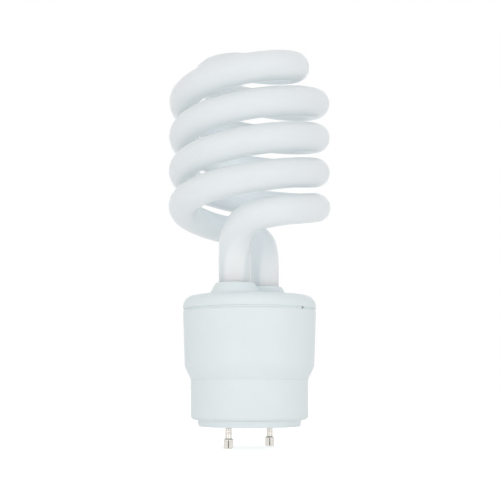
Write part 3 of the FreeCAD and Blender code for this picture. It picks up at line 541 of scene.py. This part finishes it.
def twoHolePlate(azimuth, rings, rimRings, rimColumns):
    # half a plate as rings from one hole out to its edge, with the rim as a strip; the same half a turn on
    body = np.stack(rings)
    body = np.concatenate([body, body[:, :1]], axis=1)
    strip = np.stack(rimRings)[:, rimColumns]
    grids = []
    for turn in (azimuth, azimuth + math.pi):
        along, across = compass(np.array(turn)), compass(np.array(turn + math.pi / 2))
        for part in (body, strip):
            grids.append(part[..., :1] * along + part[..., 1:2] * across + part[..., 2:] * upward)
    return grids


def boardAzimuths(offset):
    # four places round the circuit board, two on each side of the line through the legs
    return [tubeSizes["legAzimuth"] + side * math.pi / 2 + hand * offset
            for side in (1, -1) for hand in (1, -1)]


# Tube cover
coverSizes = {
    "crown": 53.3 * mm, "shoulder": 51.7 * mm, "rimRounding": 4.2 * mm,
    "seam": 46.65 * mm, "seamRounding": 0.15 * mm,
    "under": 49.7 * mm, "spigot": 24.7 * mm, "spigotEnd": 44.15 * mm, "bore": 22.9 * mm,
    "collarReach": 10.85 * mm, "collarTop": 7.8 * mm, "collarFoot": 10.4 * mm, "collarRounding": 0.5 * mm,
    "footBlend": 1.3 * mm, "footSpill": 0.2,       # the blend passes the foot by this share of the flank
    "legBore": 6.2 * mm, "wellRadius": 6.8 * mm, "wellTop": 53.9 * mm, "lipRounding": 0.08 * mm,
    "studReach": 20.9 * mm, "studRadius": 1.4 * mm, "studEnd": 42.35 * mm, "studSpread": 25 * degree,
    "studRounding": 0.2 * mm, "studSink": 0.2 * mm, "studColumns": 24,
    "arcCount": 150, "lineCount": 56, "roundCount": 8, "coneRings": 26, "plateRings": 24, "lipSteps": 4,
}


def coverHeight(rho, rim, sizes):
    # a shallow cone, with the rim rounded over into the side wall
    fall = (sizes["crown"] - sizes["shoulder"]) / rim
    lean = math.atan(fall)
    rounding = sizes["rimRounding"]
    centreLevel = sizes["shoulder"] - rounding * math.tan((math.pi / 2 - lean) / 2)
    arc = centreLevel + np.sqrt(np.maximum(rounding ** 2 - (rho - rim + rounding) ** 2, 0))
    return np.where(rho < rim - rounding + rounding * math.sin(lean), sizes["crown"] - fall * rho, arc)


def smoothMax(first, second, width):
    # the larger of two heights, with a rounded valley where they are closer than the width
    near = np.maximum(width - np.abs(first - second), 0)
    return np.maximum(first, second) + near ** 2 / (4 * width)


def coverGrids(sizes, tube):
    # rings round each leg's hole: the underside, the well, the bore, the collar's cone and the domed plate;
    # then the rim with the spigot under it, and four studs
    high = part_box("tube_cover")[1]
    rim, top = high.x, high.z
    edge, rimColumns = plateEdge(rim, sizes["rimRounding"], sizes)
    collar, leg = np.array([sizes["collarReach"], 0]), np.array([tube["legReach"], 0])
    length = np.linalg.norm(edge - collar, axis=1)
    ray = (edge - collar) / length[:, None]
    under = level(edge * sizes["bore"] / rim, sizes["under"])
    well = level(leg + ray * sizes["wellRadius"], sizes["under"])
    rings = [under, (under + well) / 2, well, level(leg + ray * sizes["wellRadius"], sizes["wellTop"])]
    lip = sizes["lipRounding"]
    bore = roundedOutline([(sizes["legBore"], sizes["wellTop"], 0), (sizes["legBore"], top, lip),
                           (sizes["legBore"] + 2 * lip, top, 0)], sizes["lipSteps"])
    rings.extend(level(leg + ray * radius, height) for radius, height in bore)
    foot = sizes["collarFoot"] - sizes["collarTop"]
    flank = (top - sizes["shoulder"]) / foot
    edgeTop = roundedOutline([(sizes["collarTop"] - sizes["collarRounding"], top, 0),
                              (sizes["collarTop"], top, sizes["collarRounding"]),
                              (sizes["collarFoot"], sizes["shoulder"], 0)])[1:-1]
    rings.extend(level(collar + ray * radius, height) for radius, height in edgeTop)
    coneEnd = sizes["collarFoot"] + foot * sizes["footSpill"]
    for radius in np.linspace(edgeTop[-1, 0], coneEnd, sizes["coneRings"])[1:]:
        spot = collar + ray * radius
        plate = coverHeight(np.linalg.norm(spot, axis=1), rim, sizes)
        cone = top - (radius - sizes["collarTop"]) * flank
        rings.append(level(spot, smoothMax(plate, cone, sizes["footBlend"])))
    for share in np.linspace(0, 1, sizes["plateRings"])[1:]:
        spot = collar + ray * (coneEnd + (length - coneEnd) * (1 - (1 - share) ** 2))[:, None]
        rings.append(level(spot, coverHeight(np.linalg.norm(spot, axis=1), rim, sizes)))
    wall = roundedOutline([(rim, rings[-1][-1, 2], 0), (rim, sizes["seam"], sizes["seamRounding"]),
                           (sizes["spigot"], sizes["seam"], 0), (sizes["spigot"], sizes["spigotEnd"], 0),
                           (sizes["bore"], sizes["spigotEnd"], 0), (sizes["bore"], sizes["under"], 0)])
    rimRings = [level(edge * radius / rim, height) for radius, height in wall]
    grids = twoHolePlate(tube["legAzimuth"], rings, rimRings, rimColumns)
    studTop, studRadius = sizes["under"] + sizes["studSink"], sizes["studRadius"]
    stud = roundedOutline([(0, sizes["studEnd"], 0), (studRadius, sizes["studEnd"], sizes["studRounding"]),
                           (studRadius, studTop, 0), (0, studTop, 0)])
    for azimuth in boardAzimuths(sizes["studSpread"]):
        spot = compass(np.array(azimuth)) * sizes["studReach"]
        grids.append(turned(stud, sizes["studColumns"], spot[:2]))
    return grids


addPiece("tubeCover", coverGrids(coverSizes, tubeSizes), caseMaterial, "tube_cover")


# Ballast housing
housingSizes = {
    "spigot": 21.3 * mm, "spigotBore": 19.5 * mm, "spigotRounding": 0.3 * mm,
    "capTop": 18.5 * mm, "capRadius": 23.5 * mm, "footRounding": 0.15 * mm,
    "waist": 26.0 * mm, "waistTop": 23.6 * mm, "waistRounding": 7.0 * mm,
    "rimLevel": 45.85 * mm, "edgeRounding": 0.25 * mm, "lip": 26.25 * mm, "wall": 2.0 * mm,
    "latch": 26.75 * mm, "latchHeight": 0.73 * mm, "latchStart": 237 * degree, "latchSpan": 60 * degree,
    "latchSlit": 0.05 * mm,        # fine gap under a tongue
    "rowGap": 0.01 * mm,           # rows that shape nothing at an angle lie this close there
    "keeperStart": 314 * degree, "keeperSpan": 5 * degree,
    "releaseAzimuth": 321.5 * degree, "releaseWidth": 1.6 * mm, "releaseDepth": 25.0 * mm,
    "ribThickness": 1.6 * mm, "ribReach": 20.9 * mm, "ribTop": 40.75 * mm, "ribSpread": 25 * degree,
    "columns": 360, "stepWidth": 0.06 * degree, "roundSteps": 9,
}


def withinSpan(angle, start, span):
    # true where an angle lies in a span or in the same span half a turn on
    return (angle - start) % math.pi < span


def ribGrid(azimuth, levels, reaches, sizes):
    # an upright bar: at each level a rectangle from the rib's inner face into the wall, closed at both ends
    along, across = compass(np.array(azimuth)), compass(np.array(azimuth + math.pi / 2))
    half = sizes["ribThickness"] / 2
    rows = []
    for height, outer in zip(levels, reaches):
        inner = min(sizes["ribReach"], outer - half)
        loop = np.array([(inner, -half), (outer, -half), (outer, half), (inner, half), (inner, -half)])
        rows.append(loop[:, :1] * along + loop[:, 1:] * across + height * upward)
    middles = [np.broadcast_to(rows[end].mean(axis=0), rows[end].shape) for end in (0, -1)]
    return np.stack([middles[0], *rows, middles[1]])


def housingGrids(sizes):
    # an outline carried round the axis; at the seam its radius follows the tongues, keepers and releases
    low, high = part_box("ballast_housing")
    rim, top = high.x, high.z
    rimLevel, wall, rowGap = sizes["rimLevel"], sizes["wall"], sizes["rowGap"]
    releaseSpan = sizes["releaseWidth"] / rim
    spans = ((sizes["latchStart"], sizes["latchSpan"]), (sizes["keeperStart"], sizes["keeperSpan"]),
             (sizes["releaseAzimuth"] - releaseSpan / 2, releaseSpan))
    steps = [start + part * span + hand * sizes["stepWidth"] / 2 + turn
             for start, span in spans for part in (0, 1) for hand in (-1, 1) for turn in (0, math.pi)]
    even = np.linspace(0, 2 * math.pi, sizes["columns"] + 1)
    angle = np.unique(np.concatenate([even, np.array(steps) % (2 * math.pi)]))
    tongue = withinSpan(angle, *spans[0]) | withinSpan(angle, *spans[1])
    release = withinSpan(angle, *spans[2])
    ledge = np.where(tongue, sizes["latch"], np.where(release, sizes["releaseDepth"], sizes["lip"]))
    slitTop = rimLevel + np.where(tongue, sizes["latchSlit"], rowGap)
    tongueTop = rimLevel + np.where(tongue, sizes["latchHeight"], 2 * rowGap)
    lip = np.where(release, sizes["releaseDepth"], sizes["lip"])
    lipTop = np.where(release, rimLevel + 4 * rowGap, top)
    bore = rim - wall
    outside = roundedOutline([
        (sizes["spigotBore"], low.z, 0), (sizes["spigot"], low.z, sizes["spigotRounding"]),
        (sizes["spigot"], sizes["capTop"], 0), (sizes["capRadius"], sizes["capTop"], sizes["footRounding"]),
        (sizes["waist"], sizes["waistTop"], sizes["waistRounding"]),
        (rim, rimLevel, sizes["edgeRounding"]), (rim - 2 * sizes["edgeRounding"], rimLevel, 0),
    ], sizes["roundSteps"])[:-1]
    inside = [(bore, rimLevel), (sizes["waist"] - wall, sizes["waistTop"] + wall / 2),
              (sizes["spigotBore"], sizes["capTop"] + wall / 2), (sizes["spigotBore"], low.z)]
    rows = [*outside, (lip, rimLevel), (lip, slitTop), (ledge, slitTop), (ledge, tongueTop),
            (lip, tongueTop), (lip, lipTop), (bore, lipTop), *inside]
    around = compass(angle)
    grid = np.stack([np.broadcast_to(radius, angle.shape)[:, None] * around
                     + np.broadcast_to(height, angle.shape)[:, None] * upward for radius, height in rows])
    wallLevels = [sizes["capTop"], sizes["waistTop"], sizes["ribTop"]]
    wallRadii = [sizes["spigotBore"] + wall, sizes["waist"] - wall / 2, rim - wall / 2]
    ribs = [ribGrid(azimuth, wallLevels, wallRadii, sizes) for azimuth in boardAzimuths(sizes["ribSpread"])]
    return [grid, *ribs]


addPiece("ballastHousing", housingGrids(housingSizes), caseMaterial, "ballast_housing")


# Base cap
capSizes = {
    "seat": 20.4 * mm, "seatDraft": 0.4 * mm, "seatHeight": 2.6 * mm, "seatRounding": 0.3 * mm,
    "creaseRounding": 0.25 * mm, "capRounding": 1.6 * mm, "edgeRounding": 0.15 * mm,
    "bore": 21.5 * mm, "wall": 2.0 * mm, "floor": 2.6 * mm,
    "socket": 3.5 * mm, "socketTop": 4.8 * mm, "socketRounding": 0.2 * mm, "well": 2.35 * mm,
    "hole": 1.35 * mm, "holeRounding": 0.15 * mm,
    "arcCount": 150, "lineCount": 48, "roundCount": 4, "faceRings": 16, "socketSteps": 4, "sideSteps": 9,
}
pinAzimuth = 46.9 * degree
pinReach = 12 * mm


def capGrids(sizes):
    # rings round each pin's hole: the inner floor, the socket, the hole and the seating face;
    # then the side wall
    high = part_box("base_cap")[1]
    rim, top = high.x, high.z
    seat, soft, floorLevel = sizes["seat"], sizes["seatRounding"], sizes["floor"]
    edge, rimColumns = plateEdge(seat, soft, sizes)
    hole = np.array([pinReach, 0])
    length = np.linalg.norm(edge - hole, axis=1)
    ray = (edge - hole) / length[:, None]
    inner = seat - sizes["wall"]
    shelf = sizes["seatHeight"] + sizes["wall"]
    floor = level(edge * inner / seat, floorLevel)
    foot = level(hole + ray * sizes["socket"], floorLevel)
    rings = [floor, (floor + foot) / 2]
    socket = roundedOutline([
        (sizes["socket"], floorLevel, 0), (sizes["socket"], sizes["socketTop"], sizes["socketRounding"]),
        (sizes["well"], sizes["socketTop"], 0), (sizes["well"], floorLevel, 0),
        (sizes["hole"], floorLevel, 0), (sizes["hole"], 0, sizes["holeRounding"]),
        (sizes["hole"] + 2 * sizes["holeRounding"], 0, 0),
    ], sizes["socketSteps"])
    rings.extend(level(hole + ray * radius, height) for radius, height in socket)
    for share in np.linspace(0, 1, sizes["faceRings"])[1:]:
        spot = hole + ray * (socket[-1, 0] + (length - socket[-1, 0]) * (1 - (1 - share) ** 2))[:, None]
        beyond = np.maximum(np.linalg.norm(spot, axis=1) - seat + soft, 0)
        rings.append(level(spot, soft - np.sqrt(np.maximum(soft ** 2 - beyond ** 2, 0))))
    side = roundedOutline([
        (seat, soft, 0), (seat + sizes["seatDraft"], sizes["seatHeight"], sizes["creaseRounding"]),
        (rim, sizes["seatHeight"], sizes["capRounding"]), (rim, top, sizes["edgeRounding"]),
        (sizes["bore"], top, 0), (sizes["bore"], shelf, 0), (inner, shelf, 0), (inner, floorLevel, 0),
    ], sizes["sideSteps"])
    rimRings = [level(edge * radius / seat, height) for radius, height in side]
    return twoHolePlate(pinAzimuth, rings, rimRings, rimColumns)


addPiece("baseCap", capGrids(capSizes), caseMaterial, "base_cap")


# Contact pins
pinSizes = {
    "head": 1.9 * mm, "headRounding": 0.5 * mm, "headTop": -4.5 * mm,
    "wallInset": 0.65 * mm,        # extra rings here keep the head's wall straight in its shading
    "neck": 1.3 * mm, "neckFillet": 0.2 * mm,
    "flangeLow": 2.6 * mm, "flange": 2.3 * mm, "flangeTop": 3.8 * mm, "flangeRounding": 0.1 * mm,
    "tail": 0.8 * mm, "tailRounding": 0.15 * mm, "columns": 64, "roundSteps": 8,
}


def pinGrid(sizes, azimuth, node):
    # a turned outline: rounded head, slim neck through the cap's floor, flange and wire tail inside
    low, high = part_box(node)
    spot = compass(np.array(azimuth)) * pinReach
    head, headTop = sizes["head"], sizes["headTop"]
    outline = roundedOutline([
        (0, low.z, 0), (head, low.z, sizes["headRounding"]), (head, low.z + sizes["wallInset"], 0),
        (head, headTop - sizes["wallInset"], 0), (head, headTop, sizes["headRounding"]),
        (sizes["neck"], headTop, sizes["neckFillet"]), (sizes["neck"], sizes["flangeLow"], 0),
        (sizes["flange"], sizes["flangeLow"], 0),
        (sizes["flange"], sizes["flangeTop"], sizes["flangeRounding"]),
        (sizes["tail"], sizes["flangeTop"], 0), (sizes["tail"], high.z, sizes["tailRounding"]),
        (0, high.z, 0),
    ], sizes["roundSteps"])
    return turned(outline, sizes["columns"], spot[:2])


for side, turn in (("left", math.pi), ("right", 0)):
    pinNode = f"{side}_contact_pin"
    addPiece(f"{side}ContactPin", [pinGrid(pinSizes, pinAzimuth + turn, pinNode)], nickelMaterial,
             pinNode)


# Finishes of the pieces inside the case, by the record's slots
innerLook = {"amount": 0.8, "stretch": (1, 0.05, 0.05), "bump": 0.2, "bumpDepth": 0.05 * mm, "wire": False}
innerFinishes = {
    "cement": {"tone": (0.82, 0.80, 0.74), "shade": (0.68, 0.66, 0.60), "roughness": 0.85, "grain": 900},
    "board": {"tone": (0.68, 0.52, 0.30), "shade": (0.56, 0.42, 0.24), "roughness": 0.5, "grain": 600},
    "can_sleeve": {"tone": (0.08, 0.08, 0.10), "shade": (0.06, 0.06, 0.08), "roughness": 0.35, "grain": 300},
    "film_case": {"tone": (0.50, 0.10, 0.07), "shade": (0.40, 0.08, 0.05), "roughness": 0.4, "grain": 500},
    "ferrite": {"tone": (0.13, 0.13, 0.14), "shade": (0.09, 0.09, 0.10), "roughness": 0.6, "grain": 1500},
    "bobbin_plastic": {"tone": (0.10, 0.10, 0.10), "shade": (0.08, 0.08, 0.08), "roughness": 0.5,
                       "grain": 700},
    "copper": {"tone": (0.70, 0.36, 0.17), "shade": (0.42, 0.20, 0.09), "roughness": 0.3, "grain": 2600,
               "wire": True},
    "moulded_black": {"tone": (0.06, 0.06, 0.06), "shade": (0.045, 0.045, 0.045), "roughness": 0.45,
                      "grain": 1800},
    "diode_glass": {"tone": (0.25, 0.30, 0.45), "shade": (0.20, 0.24, 0.37), "roughness": 0.25, "grain": 900},
    "resistor_coat": {"tone": (0.75, 0.62, 0.45), "shade": (0.62, 0.51, 0.36), "roughness": 0.45,
                      "grain": 900},
    "tinned_wire": {"tone": (0.74, 0.74, 0.73), "shade": (0.52, 0.52, 0.51), "roughness": 0.3, "grain": 2200,
                    "wire": True},
    "wire_sleeve": {"tone": (0.85, 0.85, 0.83), "shade": (0.72, 0.72, 0.70), "roughness": 0.4, "grain": 800},
}


def innerMaterial(name, finish):
    # grain of two tones, or fine windings in metal where the piece is wire, with bump from the same pattern
    material, tree, shader = newMaterial(name, Metallic=int(finish["wire"]), Roughness=finish["roughness"])
    if finish["wire"]:
        pattern = placeTone(tree, streakGroup, finish, Stretch=finish["stretch"])
    else:
        pattern = placeTone(tree, mottleGroup, finish)
    tree.links.new(pattern.outputs["Color"], shader.inputs["Base Color"])
    addBump(tree, shader, pattern, finish)
    return material


slotMaterials = {slot: innerMaterial(slot, {**innerLook, **finish}) for slot, finish in innerFinishes.items()}
slotMaterials.update(tube_glass=glassMaterial, case_plastic=caseMaterial, pin_nickel=nickelMaterial)
for subpart in frame["record"]["subparts"]:
    node = frame["nodes"][subpart["node"]]
    node.data.materials.clear()
    node.data.materials.append(slotMaterials[subpart["material_slot"]])


# Studio: pale floor under the pins, white all round to the camera, and soft light
studioSizes = {
    "floorReach": 3.0, "floorColumns": 96, "floorColour": (0.90, 0.90, 0.90), "floorRoughness": 0.9,
    "floorGlow": 0.05, "floorLift": 0.43,
    "backdrop": (1, 1, 1), "ambient": (1, 1, 1), "ambientStrength": 0.70,
    "coilFill": 0.0059, "coilFillPlace": (0, 0, 111 * mm), "coilFillRadius": 12 * mm,
}
softboxes = {
    "leftSoftbox": {"place": (-0.42, -0.95, 0.20), "size": (0.45, 0.4), "power": 0.47, "mirrored": True},
    "rightSoftbox": {"place": (0.42, -0.95, 0.20), "size": (0.45, 0.4), "power": 0.47, "mirrored": True},
    "backSoftbox": {"place": (0.0, 0.95, 0.35), "size": (0.8, 0.6), "power": 0.70, "mirrored": True},
    "lowSoftbox": {"place": (0.0, -0.40, -0.002), "size": (0.30, 0.01), "power": 0.20, "mirrored": False},
}
aimPoint = Vector((0, 0, 0.08))
darkCard = {
    "width": 0.50, "away": -1.0, "low": -0.35, "high": 0.0, "colour": (0.02, 0.02, 0.02), "roughness": 0.9,
}


def seenRays(tree):
    # 1 for camera, glossy and transmission rays, 0 for the rest
    path = tree.nodes.new("ShaderNodeLightPath")
    shown = math2(tree, "MAXIMUM", path.outputs["Is Camera Ray"], path.outputs["Is Glossy Ray"])
    return math2(tree, "MAXIMUM", shown, path.outputs["Is Transmission Ray"])


def addFloor(sizes):
    # a disc that keeps the lamp's shadow and is lifted to white where the camera sees it
    columns = sizes["floorColumns"]
    ring = compass(np.linspace(0, 2 * math.pi, columns, endpoint=False))
    points = np.concatenate([np.zeros((1, 3)), sizes["floorReach"] * ring]) + upward * cadBox[0].z
    index = np.arange(columns)
    faces = np.stack([np.zeros_like(index), index + 1, (index + 1) % columns + 1], axis=1)
    mesh = bpy.data.meshes.new("studioFloor")
    mesh.from_pydata(points.tolist(), [], faces.tolist())
    material, tree, shader = newMaterial("paleFloor", Roughness=sizes["floorRoughness"],
                                         Base_Color=opaque(sizes["floorColour"]))
    glow = tree.nodes.new("ShaderNodeEmission")
    lift = math2(tree, "MULTIPLY", seenRays(tree), sizes["floorLift"])
    tree.links.new(math2(tree, "ADD", lift, sizes["floorGlow"]), glow.inputs["Strength"])
    both = tree.nodes.new("ShaderNodeAddShader")
    tree.links.new(shader.outputs[0], both.inputs[0])
    tree.links.new(glow.outputs[0], both.inputs[1])
    tree.links.new(both.outputs[0], tree.nodes["Material Output"].inputs["Surface"])
    mesh.materials.append(material)
    floor = addObject("studioFloor", mesh)
    floor.visible_glossy = False         # the pins mirror the white all round instead


def addDarkCard(card):
    # a black card behind the camera, seen only in reflections, for the dark line down the middle of the pins
    mesh = bpy.data.meshes.new("darkCard")
    half = card["width"] / 2
    corners = [(-half, card["low"]), (half, card["low"]), (half, card["high"]), (-half, card["high"])]
    mesh.from_pydata([(across, card["away"], height) for across, height in corners], [], [(0, 1, 2, 3)])
    black = newMaterial("cardBlack", Roughness=card["roughness"], Base_Color=opaque(card["colour"]))[0]
    mesh.materials.append(black)
    holder = addObject("darkCard", mesh)
    holder.visible_camera = holder.visible_diffuse = holder.visible_shadow = False


def addLamp(name, lamp, place, mirrored):
    # a lamp that the camera doesn't see, and that shows in reflections only where it is mirrored
    holder = addObject(name, lamp)
    holder.location = place
    holder.visible_camera = False
    holder.visible_glossy = mirrored
    return holder


def addSoftbox(name, box):
    lamp = bpy.data.lights.new(name, "AREA")
    lamp.shape = "RECTANGLE"
    lamp.size, lamp.size_y = box["size"]
    lamp.energy = box["power"]
    holder = addLamp(name, lamp, box["place"], box["mirrored"])
    holder.rotation_euler = (aimPoint - holder.location).to_track_quat("-Z", "Y").to_euler()


def addCoilFill(sizes):
    # a weak lamp inside the coil, for the light that passes through the milky turns
    lamp = bpy.data.lights.new("coilFill", "POINT")
    lamp.energy = sizes["coilFill"]
    lamp.shadow_soft_size = sizes["coilFillRadius"]
    addLamp("coilFill", lamp, sizes["coilFillPlace"], False)


def addWorld(sizes):
    # soft light from all round, and plain white where the camera or a reflection looks past the lamp
    world = bpy.data.worlds.new("softStudio")
    world.use_nodes = True
    tree = world.node_tree
    ambient = tree.nodes["Background"]
    ambient.inputs["Color"].default_value = opaque(sizes["ambient"])
    ambient.inputs["Strength"].default_value = sizes["ambientStrength"]
    white = tree.nodes.new("ShaderNodeBackground")
    white.inputs["Color"].default_value = opaque(sizes["backdrop"])
    pick = tree.nodes.new("ShaderNodeMixShader")
    tree.links.new(seenRays(tree), pick.inputs["Fac"])
    tree.links.new(ambient.outputs[0], pick.inputs[1])
    tree.links.new(white.outputs[0], pick.inputs[2])
    tree.links.new(pick.outputs[0], tree.nodes["World Output"].inputs["Surface"])
    bpy.context.scene.world = world


addFloor(studioSizes)
for boxName, box in softboxes.items():
    addSoftbox(boxName, box)
addDarkCard(darkCard)
addCoilFill(studioSizes)
addWorld(studioSizes)
bpy.context.scene.view_settings.view_transform = "Standard"
print("studio ready")
